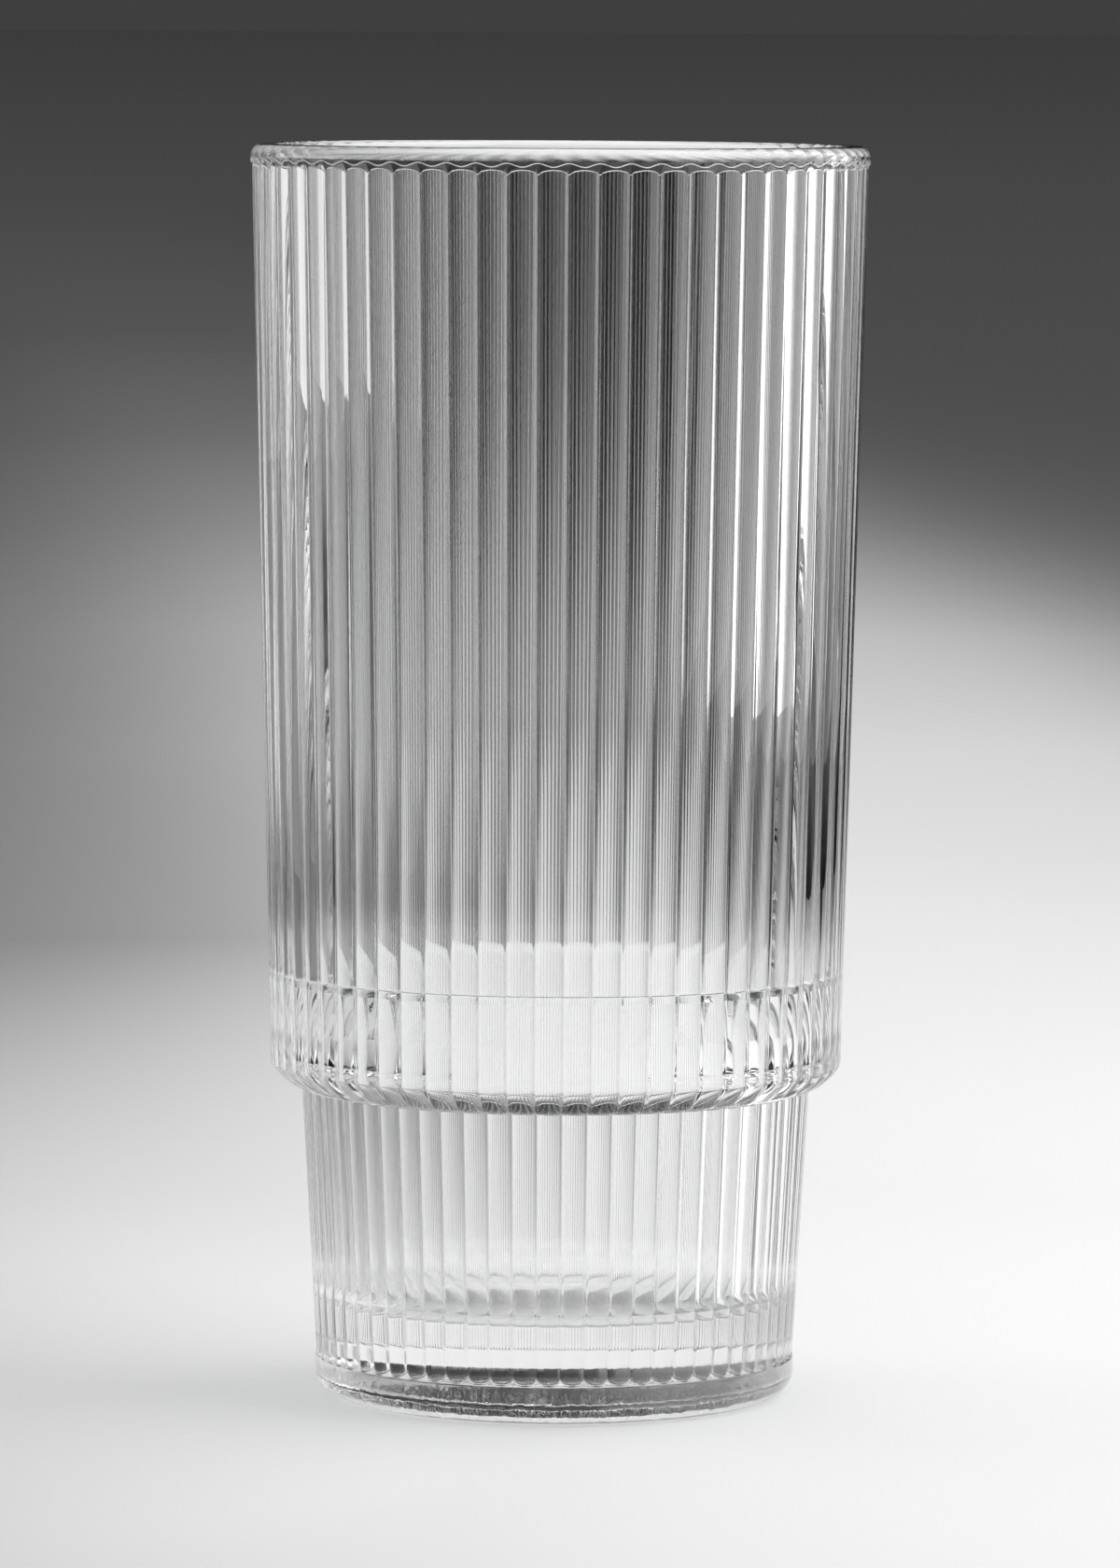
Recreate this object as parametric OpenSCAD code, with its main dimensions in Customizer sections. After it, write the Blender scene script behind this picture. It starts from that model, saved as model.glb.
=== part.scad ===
// Highball glass, pressed in one piece. Upright reeds run round both walls, and a shoulder
// below the middle lets one glass stack in the next.

/* [Overall] */
// Height from the table to the top of the lip
glass_h = 138; // [130:1:150]

/* [Reeds] */
// Number of reeds round the glass
reed_count = 64; // [48:1:80]
// Depth of the sharp valley between two reeds
reed_depth = 0.55; // [0.3:0.05:0.8]
// How far the smooth collar and the smooth foot stand proud of the reeds
band_proud = 0.15; // [0.05:0.05:0.3]

/* [Lip and collar] */
// Diameter of the smooth collar, the widest part of the glass
collar_d = 68; // [66:0.5:72]
// Height of the lip and collar together, down to where the crests of the reeds begin
collar_h = 2.05; // [2.05:0.05:4]
// Radius that rounds the outside of the lip
lip_outer_round = 1.5; // [1:0.1:1.5]
// Thickness of the wall at the lip
lip_wall = 3; // [2.4:0.1:4]

/* [Upper wall] */
// Diameter over the reeds where the upper wall meets the shoulder
shoulder_d = 62.7; // [61:0.1:64]
// Height of the underside of the shoulder above the table
shoulder_z = 34.4; // [30:0.1:42]
// How far the rounded corner of the shoulder reaches inwards
shoulder_round_w = 2.7; // [1.5:0.1:2.9]
// How far the rounded corner of the shoulder reaches upwards
shoulder_round_h = 2.6; // [1.5:0.1:4]
// Thickness of the upper wall at the top of the sloping ledge inside
shoulder_wall = 3.7; // [3:0.1:4.5]

/* [Lower wall] */
// How far the shoulder stands out over the lower wall, all round
shoulder_step = 3.3; // [3:0.1:4]
// Diameter of the smooth foot
foot_d = 53; // [51:0.1:54]
// Thickness of the lower wall at the lower end of the sloping ledge inside
neck_wall = 3.9; // [3:0.1:4.5]
// Thickness of the lower wall at the floor of the bowl
foot_wall = 3.8; // [3:0.1:5]
// Rise of the top of the sloping ledge above the underside of the shoulder
ledge_rise = 12.6; // [10:0.1:16]
// Rise of the lower end of the sloping ledge above the underside of the shoulder
ledge_low_rise = 2; // [0:0.1:5]
// Width of the small step that the sloping ledge begins with
ledge_step_w = 0.5; // [0.3:0.1:0.8]
// Height of that small step
ledge_step_h = 0.9; // [0.6:0.1:1.5]
// Radius that rounds the hollow corner at the top of the sloping ledge
ledge_round = 1; // [0.5:0.1:2]
// Radius that eases the edge at the lower end of the sloping ledge
ledge_low_round = 4; // [1:0.1:6]

/* [Base] */
// Thickness of the glass from the table to the floor of the bowl
base_t = 10.5; // [8:0.1:14]
// Radius of the corner between the floor and the wall of the bowl
floor_round = 2.9; // [1.5:0.1:5]
// Radius of the corner between the foot and the table
foot_round = 3; // [2.5:0.1:4.2]
// Height at which the reeds fade into the smooth foot
foot_band_h = 4.4; // [4.2:0.1:6]
// Diameter of the hollow under the base
push_up_d = 38; // [30:0.5:41]
// Depth of the hollow under the base
push_up_h = 1.2; // [0.6:0.1:2.5]

/* [Hidden] */
$fn = 192;

// Sides of the large circle that the shallow hollow is a small piece of
ball_sides = 720;
// Flat sides that stand for the curve of one reed
reed_steps = 6;
// Rings that stand for the rounded corner of the shoulder
shoulder_steps = 5;
// Steps from the middle of a rounded corner of the bowl to either end of it
round_steps = 5;
// How much flatter than a circle that corner is, as the power of its sine and cosine
shoulder_power = 1.5;
// How deep the valleys cut into the underside of the shoulder, as a share of their depth
under_cut_share = 0.45;
// Rise of a run-out for each unit of its depth, at the collar and at the foot
collar_steepness = 2;
foot_steepness = 1.2;
// How much higher a valley runs into the collar than a crest, as a share of the depth
eye_lift_share = 0.9;
// Width of the flat that is left on top of the lip
lip_flat = 0.1;
// How far a rough form passes the surface that trims it
overrun = 0.6;

collar_r = collar_d / 2;
shoulder_r = shoulder_d / 2;
neck_r = shoulder_r - shoulder_step;
foot_r = foot_d / 2;
collar_crest_r = collar_r - band_proud;
foot_crest_r = foot_r - band_proud;
collar_z = glass_h - collar_h;
ledge_z = shoulder_z + ledge_rise;
ledge_low_z = shoulder_z + ledge_low_rise;
corner_top_z = shoulder_z + shoulder_round_h;

// Heights at which the crests run out, under the collar and over the foot
collar_run_z = collar_z - band_proud * collar_steepness;
foot_run_z = foot_band_h + band_proud * foot_steepness;

// Radius over the crests at height z, on the upper and on the lower wall
function upper_crest_r(z) = shoulder_r
  + (collar_crest_r - shoulder_r) * (z - shoulder_z) / (collar_run_z - shoulder_z);
function lower_crest_r(z) = foot_crest_r
  + (neck_r - foot_crest_r) * (z - foot_run_z) / (shoulder_z - foot_run_z);

// The inside of the lip is rounded by what the outer rounding and the flat leave of the wall
lip_inner_round = lip_wall - lip_outer_round - lip_flat;
lip_start_z = glass_h - lip_inner_round;

// Corners of the bowl from the lip to the middle of its floor, as [radius, height]
lip_bore = [collar_r - lip_wall, lip_start_z];
ledge_top = [upper_crest_r(ledge_z) - shoulder_wall, ledge_z];
ledge_step = ledge_top - [ledge_step_w, ledge_step_h];
ledge_low = [lower_crest_r(ledge_low_z) - neck_wall, ledge_low_z];
floor_corner = [lower_crest_r(base_t) - foot_wall, base_t];
floor_middle = [0, base_t];

// Points of the arc that rounds the corner between the lines to before and after
function unit(v) = v / norm(v);
function rounded(before, corner, after, radius) =
  let (
    half_corner = acos(unit(before - corner) * unit(after - corner)) / 2,
    half_arc = sign(cross(corner - before, after - corner)) * (90 - half_corner),
    inward = unit(unit(before - corner) + unit(after - corner)),
    centre = corner + radius / sin(half_corner) * inward,
    middle = atan2(-inward[1], -inward[0])
  )
  [
    for (i = [-round_steps : round_steps])
      let (angle = middle + half_arc * i / round_steps)
      centre + radius * [cos(angle), sin(angle)]
  ];

// A reed is an arc across its pitch. The drop goes from 0 at the crest to 1 in the valley.
reed_pitch = PI * 2 * collar_crest_r / reed_count;
reed_r = (pow(reed_pitch / 2, 2) + pow(reed_depth, 2)) / (2 * reed_depth);
function reed_drop(across) =
  (reed_r - sqrt(pow(reed_r, 2) - pow(across * reed_pitch / 2, 2))) / reed_depth;

// A section of the blank is [crest radius, crest height, valley pull in radius, in height].
// It gives one ring of points, and the rings are skinned from the table up.
function ring(section) = [
  for (i = [0 : reed_count * reed_steps - 1])
    let (
      across = 2 * (i % reed_steps) / reed_steps - 1,
      drop = reed_drop(across),
      r = section[0] + section[2] * drop,
      angle = 360 * i / (reed_count * reed_steps)
    )
    [r * cos(angle), r * sin(angle), section[1] + section[3] * drop]
];

// The corner of the shoulder, from its flat underside at turn 0 to the upright wall at 90
function shoulder_section(turn) =
  let (
    out = pow(sin(turn), shoulder_power),
    up = 1 - pow(cos(turn), shoulder_power)
  )
  [
    upper_crest_r(corner_top_z) - shoulder_round_w * (1 - out),
    shoulder_z + shoulder_round_h * up,
    -reed_depth * sin(turn),
    reed_depth * under_cut_share * cos(turn)
  ];

blank_sections = concat(
  [
    [foot_r + overrun, -overrun, 0, 0],
    [foot_r + overrun, foot_band_h - overrun * foot_steepness, 0, 0],
    [foot_crest_r, foot_run_z, -reed_depth, reed_depth * foot_steepness],
    [neck_r, shoulder_z, -reed_depth, 0]
  ],
  [for (k = [0 : shoulder_steps]) shoulder_section(90 * k / shoulder_steps)],
  [
    [
      collar_crest_r,
      collar_run_z,
      -reed_depth,
      reed_depth * (eye_lift_share - collar_steepness)
    ],
    [
      collar_r + overrun,
      collar_z + overrun * collar_steepness,
      0,
      reed_depth * eye_lift_share
    ],
    [collar_r + overrun, glass_h + overrun * collar_steepness, 0, 0]
  ]
);

// Skins a stack of rings that all have the same number of points
module skinned(rings) {
  n = len(rings[0]);
  last = len(rings) - 1;
  points = [for (one = rings) each one];
  sides = [
    for (j = [0 : last - 1], i = [0 : n - 1])
      let (a = j * n + i, b = j * n + (i + 1) % n)
      each [[a, a + n, b + n], [a, b + n, b]]
  ];
  floor_face = [for (i = [0 : n - 1]) i];
  roof_face = [for (i = [0 : n - 1]) last * n + n - 1 - i];
  polyhedron(points, concat([floor_face], sides, [roof_face]));
}

// The reeded form as it comes off the mould, still too wide at the collar and at the foot
module reeded_blank() {
  skinned([for (section = blank_sections) ring(section)]);
}

// What is left after turning: the foot and the collar are smooth and round, and the rest
// of this form stands clear of the reeds
module turned_envelope() {
  rotate_extrude() {
    polygon([
      [0, 0],
      [foot_r - foot_round, 0],
      [foot_r, foot_round],
      [foot_r, foot_band_h + overrun],
      [collar_r, shoulder_z - overrun],
      [collar_r, glass_h - lip_outer_round],
      [collar_r - lip_outer_round, glass_h],
      [0, glass_h]
    ]);
    translate([foot_r - foot_round, foot_round])
      circle(foot_round);
    translate([collar_r - lip_outer_round, glass_h - lip_outer_round])
      circle(lip_outer_round);
  }
}

// The bowl: two tapered bores joined by a sloping ledge with a small step, and a rounded floor
module bowl() {
  rotate_extrude() {
    polygon(concat(
      [floor_middle],
      rounded(floor_middle, floor_corner, ledge_low, floor_round),
      rounded(floor_corner, ledge_low, ledge_step, ledge_low_round),
      [ledge_step],
      rounded(ledge_step, ledge_top, lip_bore, ledge_round),
      [
        lip_bore,
        [lip_bore[0], glass_h + overrun],
        [0, glass_h + overrun]
      ]
    ));
    rounded_edge(lip_bore[0], lip_bore[1], lip_inner_round, overrun);
  }
}

// What is cut away to round an edge of the bowl that starts at radius r and height z
module rounded_edge(r, z, edge_round, above) {
  difference() {
    translate([0, z])
      square([r + edge_round, edge_round + above]);
    translate([r + edge_round, z])
      circle(edge_round);
  }
}

// The shallow hollow under the base, so that the glass stands on a ring
module push_up() {
  ball_r = (pow(push_up_d / 2, 2) + pow(push_up_h, 2)) / (2 * push_up_h);
  rotate_extrude()
    intersection() {
      translate([0, push_up_h - ball_r])
        circle(ball_r, $fn = ball_sides);
      translate([0, -overrun])
        square([push_up_d / 2 + overrun, push_up_h + 2 * overrun]);
    }
}

module tumbler() {
  color([0.86, 0.9, 0.91, 0.6])
    difference() {
      intersection() {
        reeded_blank();
        turned_envelope();
      }
      bowl();
      push_up();
    }
}

tumbler();
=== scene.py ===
import math
import bpy
import numpy as np
from mathutils import Euler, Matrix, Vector


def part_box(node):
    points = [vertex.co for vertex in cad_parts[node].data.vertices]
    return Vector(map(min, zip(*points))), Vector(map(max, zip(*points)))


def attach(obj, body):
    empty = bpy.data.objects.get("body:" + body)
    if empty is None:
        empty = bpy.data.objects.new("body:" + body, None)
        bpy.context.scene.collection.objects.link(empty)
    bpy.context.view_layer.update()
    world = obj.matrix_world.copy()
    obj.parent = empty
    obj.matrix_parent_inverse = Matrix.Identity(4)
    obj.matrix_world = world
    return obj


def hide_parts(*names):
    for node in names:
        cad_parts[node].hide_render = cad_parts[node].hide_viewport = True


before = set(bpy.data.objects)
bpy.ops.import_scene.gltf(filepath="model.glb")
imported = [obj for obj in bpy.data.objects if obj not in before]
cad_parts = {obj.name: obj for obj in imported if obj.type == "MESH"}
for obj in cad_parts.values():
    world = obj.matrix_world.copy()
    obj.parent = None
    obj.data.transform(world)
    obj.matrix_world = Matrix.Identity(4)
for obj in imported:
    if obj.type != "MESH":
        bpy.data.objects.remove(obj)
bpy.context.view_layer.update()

# Tumbler. The whole glass is one piece of clear soda-lime glass. A gob is pressed in a reeded
# mould by a plunger that forms the bowl and its ledge, and then the glass is fire polished.
mm = 0.001
tumbler_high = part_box("tumbler")[1]
glass_h = tumbler_high.z
collar_r = tumbler_high.x

# Reeds: how many, how deep their valleys are, and how far collar and foot stand proud of them
reed_count = 64
reed_depth = 0.55 * mm
band_proud = 0.15 * mm
# A reed's broad face is an arc of this radius. Past this share of half a pitch it turns down
# steeply, and the sharp valley between two reeds is rounded over the last share of it.
reed_face_r = 4.06 * mm
flank_start = 0.72
valley_round_share = 0.1
# Places of the columns of points across half a reed, from its crest to its valley
reed_column_shares = [0, 0.22, 0.44, 0.6, 0.72, 0.8, 0.86, 0.9, 0.95, 1]
# Turned forms have one column of points to three of the reeded walls
columns_per_smooth = 3

# Lip and collar. Roundings are (radius, rings of points) here and below.
collar_h = 2.05 * mm
collar_z = glass_h - collar_h
lip_wall = 3 * mm
lip_outer_round = 1.4 * mm
lip_inner_round = 1 * mm
lip_outer_rounding = (lip_outer_round, 13)
lip_inner_rounding = (lip_inner_round, 13)
# How far the last ring of the collar stays below the rounding of the lip
lip_clearance = 0.01 * mm

# Run-outs under the collar: how steep they are, and how much higher a valley runs than a
# crest, as a share of its depth at their lower edge and as a height at their upper edge.
# A fine raised line, the seam, follows both edges.
collar_steepness = 2
run_lift_share = 0.9
run_top_lift = 0.42 * mm
seam_w = 0.08 * mm
seam_h = 0.1 * mm
seam_rounding = (0.05 * mm, 4)

# Upper wall, from the collar down to the shoulder
shoulder_r = 31.35 * mm
shoulder_z = 34.4 * mm
shoulder_wall = 3.7 * mm
# The corner of the shoulder: its reach inwards and upwards, its weight and its rings, and how
# deep the valleys cut into its underside, as a share of their depth
shoulder_round_w = 2.7 * mm
shoulder_round_h = 2.6 * mm
shoulder_weight = 0.2333
shoulder_rings = 13
under_cut_share = 0.45

# Lower wall, from under the shoulder down to the smooth foot
shoulder_step = 3.3 * mm
neck_r = shoulder_r - shoulder_step
neck_wall = 3.9 * mm
neck_rounding = (0.3 * mm, 5)
foot_r = 26.5 * mm
foot_wall = 3.8 * mm
foot_steepness = 1.2
foot_band_h = 4.4 * mm
foot_band_rounding = (0.5 * mm, 4)
foot_run_rounding = (0.5 * mm, 5)
foot_round = 3 * mm
foot_rounding = (foot_round, 14)
# How far the first ring of the reeded walls stays above the rounding of the foot
foot_clearance = 0.2 * mm

# Bowl: the sloping ledge with its small step, and the floor
ledge_rise = 12.6 * mm
ledge_low_rise = 2 * mm
ledge_z = shoulder_z + ledge_rise
ledge_low_z = shoulder_z + ledge_low_rise
ledge_step_w = 0.5 * mm
ledge_step_h = 0.9 * mm
ledge_rounding = (1 * mm, 6)
ledge_step_rounding = (0.5 * mm, 4)
ledge_low_rounding = (4 * mm, 8)
base_t = 10.5 * mm
floor_rounding = (2.9 * mm, 12)

# The shallow hollow under the base, and the inner edge of the ring that the glass stands on
push_up_r = 19 * mm
push_up_h = 1.2 * mm
push_up_rounding = (130 * mm, 8)
standing_ring_rounding = (4 * mm, 4)

# Radius of the small flat in the middle of a turned face, and how far a profile runs on past
# its last rounding
middle_r = 0.4 * mm
overrun = 2 * mm

collar_crest_r = collar_r - band_proud
foot_crest_r = foot_r - band_proud
collar_run_z = collar_z - band_proud * collar_steepness
foot_run_z = foot_band_h + band_proud * foot_steepness


def between(z, low, high):
    """Radius at height z on the straight line through the points low and high."""
    return low[0] + (high[0] - low[0]) * (z - low[1]) / (high[1] - low[1])


def upper_crest_r(z):
    """Radius over the crests of the upper wall at height z."""
    return between(z, (shoulder_r, shoulder_z), (collar_crest_r, collar_run_z))


def lower_crest_r(z):
    """Radius over the crests of the lower wall at height z."""
    return between(z, (foot_crest_r, foot_run_z), (neck_r, shoulder_z))


def reed_drop(across):
    """How far a reed has dropped from its crest, from 0 there to about 1 in its valley."""
    half_pitch = math.pi * collar_crest_r / reed_count
    edge = 1 - valley_round_share
    flank = 1 - flank_start
    flank_depth = reed_depth - reed_face_r + math.sqrt(reed_face_r**2 - half_pitch**2)
    across = np.abs((across + 1) % 2 - 1)
    on_face = np.minimum(across, edge) * half_pitch
    on_flank = np.maximum(np.minimum(across, edge) - flank_start, 0) / flank
    drop = reed_face_r - np.sqrt(reed_face_r**2 - on_face**2) + flank_depth * on_flank**2
    face_slope = edge * half_pitch**2 / math.sqrt(reed_face_r**2 - (edge * half_pitch) ** 2)
    slope = face_slope + 2 * flank_depth * (edge - flank_start) / flank**2
    past = np.maximum(across - edge, 0)
    return (drop + slope * past * (1 - past / (2 * valley_round_share))) / reed_depth


def rounded_profile(corners, roundings):
    """Follows a line of corners and rounds each. Returns rings as (r, z, slope r, slope z).

    A rounding is (radius, rings), or (reach before, reach after, weight, rings) where the
    corner isn't a part of a circle. None keeps the corner as the end of the line.
    """
    shape = np.broadcast_shapes(*(np.shape(size) for corner in corners for size in corner))
    line = [np.stack([np.broadcast_to(size, shape) for size in corner]) for corner in corners]
    rings = []
    for k, rounding in enumerate(roundings):
        here = line[k]
        if rounding is None:
            way = line[1] - here if k == 0 else here - line[k - 1]
            rings.append((*here, *way))
            continue
        back, ahead = line[k - 1] - here, line[k + 1] - here
        back, ahead = back / np.hypot(*back), ahead / np.hypot(*ahead)
        if len(rounding) == 2:
            radius, count = rounding
            half_turn = (math.pi - np.arccos(np.clip((back * ahead).sum(0), -1, 1))) / 2
            reach_back = reach_ahead = radius * np.tan(half_turn)
            weight = np.cos(half_turn)
        else:
            reach_back, reach_ahead, weight, count = rounding
        start, end = here + back * reach_back, here + ahead * reach_ahead
        for u in np.linspace(0, 1, count):
            a, b, c = (1 - u) ** 2, 2 * u * (1 - u) * weight, u**2
            point = (a * start + b * here + c * end) / (a + b + c)
            da, db, dc = -2 * (1 - u), 2 * (1 - 2 * u) * weight, 2 * u
            way = (da * start + db * here + dc * end - (da + db + dc) * point) / (a + b + c)
            rings.append((*point, *way))
    return rings


def underside_rings():
    """From the centre of the hollow under the base, over the standing ring, to the foot."""
    corners = [
        (middle_r, push_up_h),
        (push_up_r / 2, push_up_h),
        (push_up_r, 0),
        (foot_r, 0),
        (foot_r, foot_round + overrun),
    ]
    roundings = [None, push_up_rounding, standing_ring_rounding, foot_rounding, None]
    return rounded_profile(corners, roundings)[:-1]


def reeded_rings(across):
    """From the foot to the collar, where each valley is pulled in by the drop of the reeds."""
    pull = reed_depth * reed_drop(across)
    corner_top_z = shoulder_z + shoulder_round_h
    corner_r = upper_crest_r(corner_top_z)
    under_z = shoulder_z + pull * under_cut_share
    run_z = collar_run_z + pull * (run_lift_share - collar_steepness)
    run_top_z = collar_z + run_top_lift * (1 - np.cos(math.pi * across)) / 2
    corners = [
        (foot_r, foot_round + foot_clearance),
        (foot_r, foot_band_h),
        (foot_crest_r - pull, foot_run_z + pull * foot_steepness),
        (neck_r - pull, shoulder_z),
        (corner_r - pull, under_z),
        (collar_crest_r - pull, run_z),
        (collar_crest_r - pull - seam_w, run_z + seam_h),
        (collar_r, run_top_z),
        (collar_r - seam_w, run_top_z + seam_h),
        (collar_r, glass_h - lip_outer_round - lip_clearance),
    ]
    shoulder_rounding = (
        shoulder_round_w - pull,
        corner_top_z - under_z,
        shoulder_weight,
        shoulder_rings,
    )
    roundings = [None, foot_band_rounding, foot_run_rounding, neck_rounding, shoulder_rounding]
    roundings += [seam_rounding] * 4 + [None]
    return rounded_profile(corners, roundings)


def bowl_rings():
    """From the collar over the lip, down the bowl with its ledge, to the centre of the floor."""
    lip_bore_r = collar_r - lip_wall
    lip_start_z = glass_h - lip_inner_round
    ledge_bore = (upper_crest_r(ledge_z) - shoulder_wall, ledge_z)
    corners = [
        (collar_r, glass_h - overrun),
        (collar_r, glass_h),
        (between(glass_h, ledge_bore, (lip_bore_r, lip_start_z)), glass_h),
        ledge_bore,
        (ledge_bore[0] - ledge_step_w, ledge_z - ledge_step_h),
        (lower_crest_r(ledge_low_z) - neck_wall, ledge_low_z),
        (lower_crest_r(base_t) - foot_wall, base_t),
        (middle_r, base_t),
    ]
    roundings = [
        None,
        lip_outer_rounding,
        lip_inner_rounding,
        ledge_rounding,
        ledge_step_rounding,
        ledge_low_rounding,
        floor_rounding,
        None,
    ]
    return rounded_profile(corners, roundings)[1:]


def turned(rings_of, turn):
    """Points and outward normals of rings over the angles in turn, by the slopes they follow."""
    step = 1e-5
    halves = 2 * reed_count / math.tau
    now, before, after = (rings_of((turn + d) * halves) for d in (0, -step, step))
    points, normals = [], []
    for (r, z, slope_r, slope_z), low, high in zip(now, before, after):
        r, z, slope_r, slope_z = np.broadcast_arrays(r, z, slope_r, slope_z, turn)[:4]
        side_r = (high[0] - low[0]) / (2 * step)
        side_z = (high[1] - low[1]) / (2 * step)
        cos, sin = np.cos(turn), np.sin(turn)
        side = np.stack([side_r * cos - r * sin, side_r * sin + r * cos, side_z + 0 * r], -1)
        along = np.stack([slope_r * cos, slope_r * sin, slope_z], -1)
        normal = np.cross(side, along)
        points.append(np.stack([r * cos, r * sin, z], -1))
        normals.append(normal / np.linalg.norm(normal, axis=-1, keepdims=True))
    return points, normals


def skinned(rings):
    """Faces between rings of points. A smooth ring may meet a reeded one of three times as many."""
    starts = np.cumsum([0] + [len(ring) for ring in rings])
    faces = []
    for k, (low, high) in enumerate(zip(rings[:-1], rings[1:])):
        a, b = starts[k], starts[k + 1]
        n, m = len(low), len(high)
        if n == m:
            faces += [(a + i, a + (i + 1) % n, b + (i + 1) % n, b + i) for i in range(n)]
            continue
        few, many = (a, b) if n < m else (b, a)
        for i in range(min(n, m)):
            s, t = few + i, few + (i + 1) % min(n, m)
            at = i * columns_per_smooth
            c = [many + (at + j) % max(n, m) for j in range(columns_per_smooth + 1)]
            fan = [(s, c[1], c[0]), (s, t, c[2], c[1]), (t, c[3], c[2])]
            faces += fan if n < m else [face[::-1] for face in fan]
    first, last = len(rings[0]), len(rings[-1])
    faces.append(tuple(range(first))[::-1])
    faces.append(tuple(starts[-1] - last + np.arange(last)))
    return [tuple(map(int, face)) for face in faces]


def pressed_glass(name):
    """The glass as one closed mesh: underside, reeded walls, lip and bowl."""
    half_reed = np.array(reed_column_shares)
    across = np.concatenate([-half_reed[:0:-1], half_reed[:-1]])
    reeds = np.arange(reed_count)[:, None]
    # A valley lies at angle 0, so the first crest lies half a pitch on
    reeded = (math.tau / reed_count * (reeds + (across[None, :] + 1) / 2)).ravel()
    smooth = reeded[::columns_per_smooth]
    stacks = [
        turned(lambda across: underside_rings(), smooth),
        turned(lambda across: reeded_rings(across - 1), reeded),
        turned(lambda across: bowl_rings(), smooth),
    ]
    points = [ring for stack in stacks for ring in stack[0]]
    normals = [ring for stack in stacks for ring in stack[1]]
    mesh = bpy.data.meshes.new(name)
    mesh.from_pydata(np.concatenate(points).tolist(), [], skinned(points))
    mesh.shade_smooth()
    mesh.normals_split_custom_set_from_vertices(np.concatenate(normals).tolist())
    mesh.validate(clean_customdata=False)
    piece = bpy.data.objects.new(name, mesh)
    bpy.context.scene.collection.objects.link(piece)
    return piece


# The glass: nearly colourless, slightly uneven from the mould, and it casts a light shadow
glass_tint = (0.985, 0.99, 0.988, 1)
glass_shadow = (0.78, 0.79, 0.79, 1)
glass_ior = 1.52
wave_scale = 160
wave_detail = 2
wave_strength = 0.3
wave_depth = 0.02 * mm
# The stipple of the underside: how high it reaches, how it fades there, how dull it is
stipple_top = 1.25 * mm
stipple_fade = 0.3 * mm
stipple_roughness = 0.1
# The foot is chilled by the mould, which leaves ripples that are drawn out upwards
ripple_top = 3.4 * mm
ripple_fade = 1.6 * mm
ripple_scale = 900
ripple_detail = 3
ripple_squeeze = 0.5
ripple_depth = 0.1 * mm
# The band under the lip isn't as smooth as the walls
soft_band_z = 136.55 * mm
soft_band_fade = 0.15 * mm
soft_band_roughness = 0.12


def height_mask(tree, height, start, fade, below, above):
    """A value that turns from below to above over the fade that begins at the height start."""
    mask = tree.nodes.new("ShaderNodeMapRange")
    mask.inputs["From Min"].default_value = start
    mask.inputs["From Max"].default_value = start + fade
    mask.inputs["To Min"].default_value = below
    mask.inputs["To Max"].default_value = above
    tree.links.new(height, mask.inputs["Value"])
    return mask.outputs["Result"]


def clear_glass():
    """Clear soda-lime glass: fire polished walls, a softer lip, a rippled foot."""
    material = bpy.data.materials.new("clear_glass")
    material.use_nodes = True
    tree = material.node_tree
    nodes, links = tree.nodes, tree.links
    nodes.clear()
    glass = nodes.new("ShaderNodeBsdfPrincipled")
    glass.inputs["Base Color"].default_value = glass_tint
    glass.inputs["Transmission Weight"].default_value = 1.0
    glass.inputs["IOR"].default_value = glass_ior
    place = nodes.new("ShaderNodeTexCoord")
    split = nodes.new("ShaderNodeSeparateXYZ")
    links.new(place.outputs["Object"], split.inputs["Vector"])
    height = split.outputs["Z"]

    roughness = nodes.new("ShaderNodeMath")
    roughness.operation = "ADD"
    stippled = height_mask(tree, height, stipple_top, stipple_fade, stipple_roughness, 0.0)
    soft = height_mask(tree, height, soft_band_z, soft_band_fade, 0.0, soft_band_roughness)
    links.new(stippled, roughness.inputs[0])
    links.new(soft, roughness.inputs[1])
    links.new(roughness.outputs["Value"], glass.inputs["Roughness"])

    waves = nodes.new("ShaderNodeTexNoise")
    waves.inputs["Scale"].default_value = wave_scale
    waves.inputs["Detail"].default_value = wave_detail
    wave_bump = nodes.new("ShaderNodeBump")
    wave_bump.inputs["Strength"].default_value = wave_strength
    wave_bump.inputs["Distance"].default_value = wave_depth
    links.new(place.outputs["Object"], waves.inputs["Vector"])
    links.new(waves.outputs["Fac"], wave_bump.inputs["Height"])

    drawn_out = nodes.new("ShaderNodeVectorMath")
    drawn_out.operation = "MULTIPLY"
    drawn_out.inputs[1].default_value = (1, 1, ripple_squeeze)
    ripples = nodes.new("ShaderNodeTexNoise")
    ripples.inputs["Scale"].default_value = ripple_scale
    ripples.inputs["Detail"].default_value = ripple_detail
    ripple_bump = nodes.new("ShaderNodeBump")
    ripple_bump.inputs["Distance"].default_value = ripple_depth
    chilled = height_mask(tree, height, ripple_top, ripple_fade, 1.0, 0.0)
    links.new(place.outputs["Object"], drawn_out.inputs[0])
    links.new(drawn_out.outputs["Vector"], ripples.inputs["Vector"])
    links.new(chilled, ripple_bump.inputs["Strength"])
    links.new(ripples.outputs["Fac"], ripple_bump.inputs["Height"])
    links.new(wave_bump.outputs["Normal"], ripple_bump.inputs["Normal"])
    links.new(ripple_bump.outputs["Normal"], glass.inputs["Normal"])

    path = nodes.new("ShaderNodeLightPath")
    let_through = nodes.new("ShaderNodeBsdfTransparent")
    let_through.inputs["Color"].default_value = glass_shadow
    mix = nodes.new("ShaderNodeMixShader")
    output = nodes.new("ShaderNodeOutputMaterial")
    links.new(path.outputs["Is Shadow Ray"], mix.inputs["Fac"])
    links.new(glass.outputs["BSDF"], mix.inputs[1])
    links.new(let_through.outputs["BSDF"], mix.inputs[2])
    links.new(mix.outputs["Shader"], output.inputs["Surface"])
    return material


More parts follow.
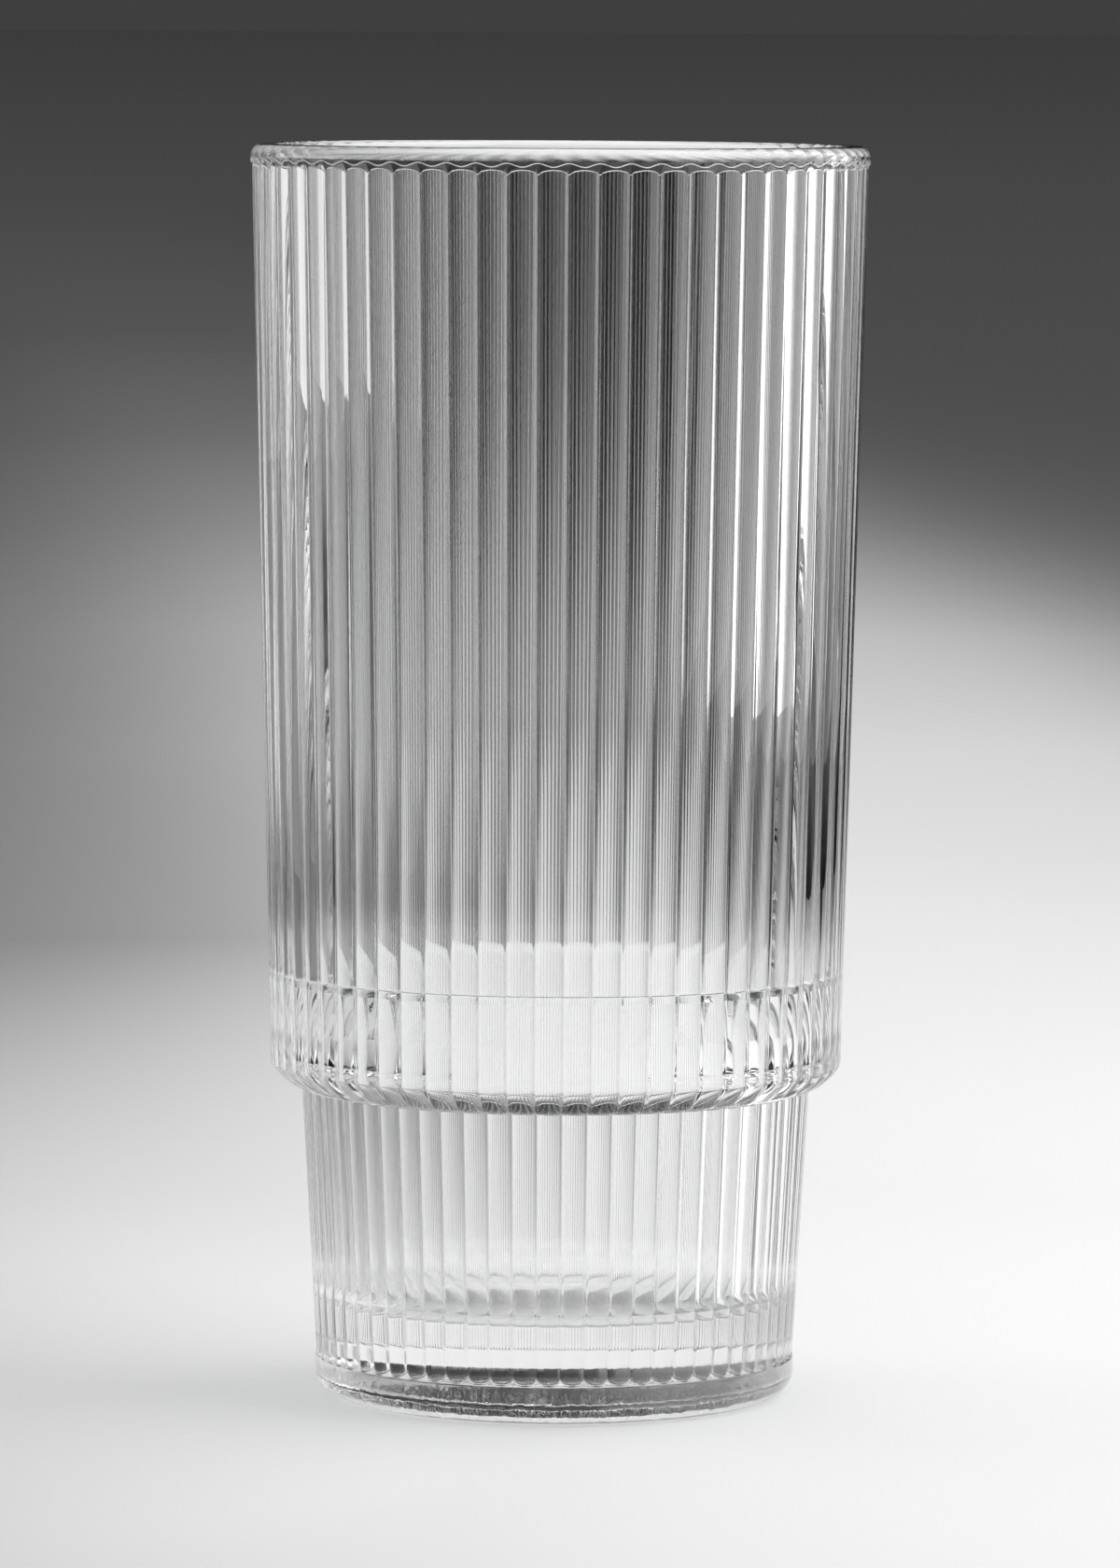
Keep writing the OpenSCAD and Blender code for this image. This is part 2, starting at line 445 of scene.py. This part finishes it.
tumbler = pressed_glass("pressed_tumbler")
tumbler.data.materials.append(clear_glass())
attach(tumbler, "root")
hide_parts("tumbler")

# Table. A plain matt top. Its grey holds a painted pool of light round the glass, which narrows
# and fades behind it, and painted shade further off, so that the far background is dark.
table_half = 200.0
table_z = -0.02 * mm
table_roughness = 0.8
table_gloss = 0.2
# Half width of the pool where it is narrow, how much it widens up to the glass, and from where
pool_half_w = 0.125
pool_widening = 0.3
pool_wide_from = 0.5
# The middle of the pool passes the glass on its right and slants to the left behind it
pool_right = 0.135
pool_slant = -0.06
# Painted greys of the pool of light over nearness, which is 1 / (1 + distance in metres): 1 at the
# glass, 0 far away
painted_pool_greys = [
    (0.125, 0.0),
    (0.227, 0.05),
    (0.3, 0.17),
    (0.364, 0.38),
    (0.444, 0.74),
    (0.526, 0.86),
    (0.65, 0.84),
    (0.74, 0.75),
    (0.85, 0.66),
]
# Painted shade: greys of the table outside the pool of light, over the same nearness
painted_shade_greys = [
    (0.0, 0.08),
    (0.12, 0.13),
    (0.23, 0.15),
    (0.32, 0.16),
    (0.4, 0.16),
    (0.5, 0.14),
    (1.0, 0.16),
]
# Left of the painted dark strip behind the glass the table is painted paler by this share. The
# strip's half width is this share of the distance.
left_painted_gain = 0.25
left_spread = 0.25


def grey_ramp(nodes, stops):
    """A colour ramp of greys from pairs of a position and a grey."""
    ramp = nodes.new("ShaderNodeValToRGB")
    for position, grey in stops[1:-1]:
        ramp.color_ramp.elements.new(position)
    for element, (position, grey) in zip(ramp.color_ramp.elements, stops):
        element.position = position
        element.color = (grey, grey, grey, 1)
    return ramp


def worked_out(tree, operation, first, second):
    """The value of a sum of two numbers or sockets."""
    step = tree.nodes.new("ShaderNodeMath")
    step.operation = operation
    for socket, value in zip(step.inputs, (first, second)):
        if isinstance(value, (int, float)):
            socket.default_value = value
        else:
            tree.links.new(value, socket)
    return step.outputs["Value"]


def fourth_power(tree, value):
    squared = worked_out(tree, "MULTIPLY", value, value)
    return worked_out(tree, "MULTIPLY", squared, squared)


def painted_light_top():
    """The table's material: matt, with a painted pool of light and painted shade as its grey."""
    material = bpy.data.materials.new("painted_light_top")
    material.use_nodes = True
    tree = material.node_tree
    nodes, links = tree.nodes, tree.links
    shade = nodes["Principled BSDF"]
    shade.inputs["Roughness"].default_value = table_roughness
    shade.inputs["Specular IOR Level"].default_value = table_gloss

    place = nodes.new("ShaderNodeTexCoord")
    split = nodes.new("ShaderNodeSeparateXYZ")
    away = nodes.new("ShaderNodeVectorMath")
    away.operation = "LENGTH"
    links.new(place.outputs["Object"], split.inputs["Vector"])
    links.new(place.outputs["Object"], away.inputs[0])
    right, back = split.outputs["X"], split.outputs["Y"]
    distance = away.outputs["Value"]
    nearness = worked_out(tree, "DIVIDE", 1.0, worked_out(tree, "ADD", distance, 1.0))
    pool = grey_ramp(nodes, painted_pool_greys)
    dark = grey_ramp(nodes, painted_shade_greys)
    links.new(nearness, pool.inputs["Fac"])
    links.new(nearness, dark.inputs["Fac"])

    # Across the painted pool of light its grey falls off with the fourth power of the way from its
    # middle
    beyond = worked_out(tree, "SUBTRACT", pool_wide_from, distance)
    close_by = worked_out(tree, "MAXIMUM", beyond, 0.0)
    widening = worked_out(tree, "MULTIPLY", close_by, pool_widening)
    half_w = worked_out(tree, "ADD", widening, pool_half_w)
    slanted = worked_out(tree, "MULTIPLY", back, pool_slant)
    middle = worked_out(tree, "ADD", slanted, pool_right)
    from_middle = worked_out(tree, "SUBTRACT", right, middle)
    aside = fourth_power(tree, worked_out(tree, "DIVIDE", from_middle, half_w))
    share = worked_out(tree, "DIVIDE", 1.0, worked_out(tree, "ADD", aside, 1.0))
    lit = worked_out(tree, "MULTIPLY", pool.outputs["Color"], share)

    # Out to the left the painted dark grey gains a little painted light, by the bearing from the
    # glass
    leftward = worked_out(tree, "MAXIMUM", worked_out(tree, "MULTIPLY", right, -1.0), 0.0)
    spread = worked_out(tree, "MULTIPLY", distance, left_spread)
    bearing = fourth_power(tree, worked_out(tree, "DIVIDE", leftward, spread))
    gained = worked_out(tree, "DIVIDE", bearing, worked_out(tree, "ADD", bearing, 1.0))
    gain = worked_out(tree, "ADD", worked_out(tree, "MULTIPLY", gained, left_painted_gain), 1.0)
    unlit = worked_out(tree, "MULTIPLY", dark.outputs["Color"], gain)
    links.new(worked_out(tree, "ADD", unlit, lit), shade.inputs["Base Color"])
    return material


def staged_rectangle(name, corners, material):
    """A plain rectangle of the studio, by its four corners."""
    mesh = bpy.data.meshes.new(name)
    mesh.from_pydata(corners, [], [(0, 1, 2, 3)])
    mesh.materials.append(material)
    rectangle = bpy.data.objects.new(name, mesh)
    bpy.context.scene.collection.objects.link(rectangle)
    return rectangle


sides = [(-1, -1), (1, -1), (1, 1), (-1, 1)]
table_corners = [(x * table_half, y * table_half, table_z) for x, y in sides]
staged_rectangle("table", table_corners, painted_light_top())

# Room. The studio round the table is a dark room, which is paler overhead.
# Its greys go by the height of a direction: 0 at the horizon and 1 straight up.
room_greys = [
    (0.0, 0.05),
    (0.05, 0.05),
    (0.12, 0.02),
    (0.4, 0.02),
    (0.55, 0.1),
    (0.707, 0.42),
    (0.906, 0.8),
    (1.0, 0.9),
]

room = bpy.data.worlds.new("dim_room")
bpy.context.scene.world = room
room.use_nodes = True
room_nodes, room_links = room.node_tree.nodes, room.node_tree.links
room_place = room_nodes.new("ShaderNodeTexCoord")
room_split = room_nodes.new("ShaderNodeSeparateXYZ")
room_ramp = grey_ramp(room_nodes, room_greys)
room_links.new(room_place.outputs["Generated"], room_split.inputs["Vector"])
room_links.new(room_split.outputs["Z"], room_ramp.inputs["Fac"])
room_links.new(room_ramp.outputs["Color"], room_nodes["Background"].inputs["Color"])

# Soft boxes. One hangs above the glass, and one stands on each side of it on a rim of cloth.
# A cloth wing, black on the right and grey on the left, runs on from each of these behind
# the glass. All of them show in the glass and not beside it. The greys of rims and wings are
# painted light and painted shade.
overhead_h = 1.2
overhead_back = 0.35
box_top = 1.1
# Painted light and shade of the cloths: greys that go by the height above the table in metres.
# Black stands for shade and the paler greys for light.
right_rim_painted_greys = [(0.0, 0.005), (0.018, 0.01), (0.028, 0.25), (0.038, 0.9)]
left_rim_painted_greys = [(0.0, 0.07), (0.045, 0.1), (0.075, 0.4)]
left_wing_painted_greys = [(0.0, 0.5), (0.026, 0.46), (0.05, 0.36), (0.085, 0.26), (0.2, 0.18)]
painted_black_greys = [(0.0, 0.006), (1.0, 0.006)]
far_painted_greys = [(0.0, 0.4), (0.02, 0.36), (0.04, 0.1), (0.06, 0.006)]


def out_at(bearing, distance):
    """A point of the table at a bearing, which runs from straight behind to the right."""
    turn = math.radians(bearing)
    return Vector((math.sin(turn) * distance, math.cos(turn) * distance, 0))


# Where the wings bend and end
right_bend = out_at(bearing=24, distance=0.62)
right_wing_end = out_at(bearing=5, distance=0.85)
left_wing_end = out_at(bearing=-6, distance=0.85)


def soft_box(name, place, aim, width, height, brightness):
    """A soft box whose face is as bright as a surface of that grey."""
    light = bpy.data.lights.new(name, "AREA")
    light.shape = "RECTANGLE"
    light.size = width
    light.size_y = height
    light.energy = brightness * math.pi * width * height
    lamp = bpy.data.objects.new(name, light)
    lamp.location = place
    lamp.rotation_euler = (Vector(aim) - Vector(place)).to_track_quat("-Z", "Y").to_euler()
    lamp.visible_camera = False
    bpy.context.scene.collection.objects.link(lamp)


def painted_cloth(name, greys):
    """Matt cloth painted with light and shade: its grey goes by the height above the table."""
    material = bpy.data.materials.new(name)
    material.use_nodes = True
    nodes, links = material.node_tree.nodes, material.node_tree.links
    shade = nodes["Principled BSDF"]
    shade.inputs["Roughness"].default_value = 1.0
    shade.inputs["Specular IOR Level"].default_value = 0.0
    place = nodes.new("ShaderNodeTexCoord")
    split = nodes.new("ShaderNodeSeparateXYZ")
    ramp = grey_ramp(nodes, greys)
    links.new(place.outputs["Object"], split.inputs["Vector"])
    links.new(split.outputs["Z"], ramp.inputs["Fac"])
    links.new(ramp.outputs["Color"], shade.inputs["Base Color"])
    return material


def unseen_wall(name, start, end, height, greys):
    """An upright cloth of painted light and shade, which only shows in the glass and leaves the
    table as it is.
    """
    top = Vector((0, 0, height))
    wall = staged_rectangle(name, [start, end, end + top, start + top], painted_cloth(name, greys))
    wall.visible_camera = False
    wall.visible_diffuse = False
    wall.visible_shadow = False


def standing_box(name, bearing, distance, width, brightness, rim_greys):
    """An upright soft box on a rim. Returns its end that is further behind the glass."""
    middle = out_at(bearing, distance)
    along = out_at(bearing + 90, width / 2)
    rim_h = rim_greys[-1][0]
    height = Vector((0, 0, (rim_h + box_top) / 2))
    soft_box(name, middle + height, height, width, box_top - rim_h, brightness)
    unseen_wall(name + "_rim", middle - along, middle + along, rim_h, rim_greys)
    return max(middle - along, middle + along, key=lambda end: end.y)


overhead_place = (0, overhead_back, overhead_h)
below_overhead = (0, overhead_back, 0)
soft_box("overhead_box", overhead_place, below_overhead, width=1.0, height=1.7, brightness=1.12)
right_end = standing_box(
    "right_box", bearing=92, distance=0.32, width=0.66, brightness=1.75, rim_greys=right_rim_painted_greys
)
left_end = standing_box(
    "left_box", bearing=-70, distance=0.42, width=0.3, brightness=0.75, rim_greys=left_rim_painted_greys
)
unseen_wall("right_wing", right_end, right_bend, box_top, painted_black_greys)
unseen_wall("right_far_wing", right_bend, right_wing_end, box_top, far_painted_greys)
unseen_wall("left_wing", left_end, left_wing_end, box_top, left_wing_painted_greys)

# Camera. A long lens, a metre from the glass and a little above its lip. It stands a little
# round from the front of the glass, so that the reeds fall where they do in the picture.
camera_far = 1.0
camera_h = 151.7 * mm
camera_turn = math.radians(268.43)
down_tilt = 0.0839
roll = 0.0055
picture_h, focal_px = 1680, 9748
# How many pixels the axis of the glass lies beside the middle of the picture
aside_px = 3.06

camera_data = bpy.data.cameras.new("camera")
camera_data.sensor_fit = "AUTO"
camera_data.sensor_width = 36
camera_data.lens = focal_px / picture_h * camera_data.sensor_width
camera_data.clip_start = 0.05
camera_data.clip_end = 100
camera = bpy.data.objects.new("camera", camera_data)
camera_x = camera_far * math.cos(camera_turn)
camera_y = camera_far * math.sin(camera_turn)
camera.location = (camera_x, camera_y, camera_h)
camera.rotation_mode = "XYZ"
heading = camera_turn + math.pi / 2 - aside_px / focal_px
look = Euler((math.pi / 2 - down_tilt, 0, heading), "XYZ").to_matrix()
camera.rotation_euler = (look @ Euler((0, 0, roll), "XYZ").to_matrix()).to_euler()
bpy.context.scene.collection.objects.link(camera)
bpy.context.scene.camera = camera

# Light passes many walls of glass on its way, so it may bend and bounce this often
glass_bounces = 24
gloss_bounces = 8
scene = bpy.context.scene
scene.view_settings.view_transform = "Standard"
scene.cycles.max_bounces = glass_bounces
scene.cycles.transmission_bounces = glass_bounces
scene.cycles.transparent_max_bounces = glass_bounces
scene.cycles.glossy_bounces = gloss_bounces

bpy.context.view_layer.update()
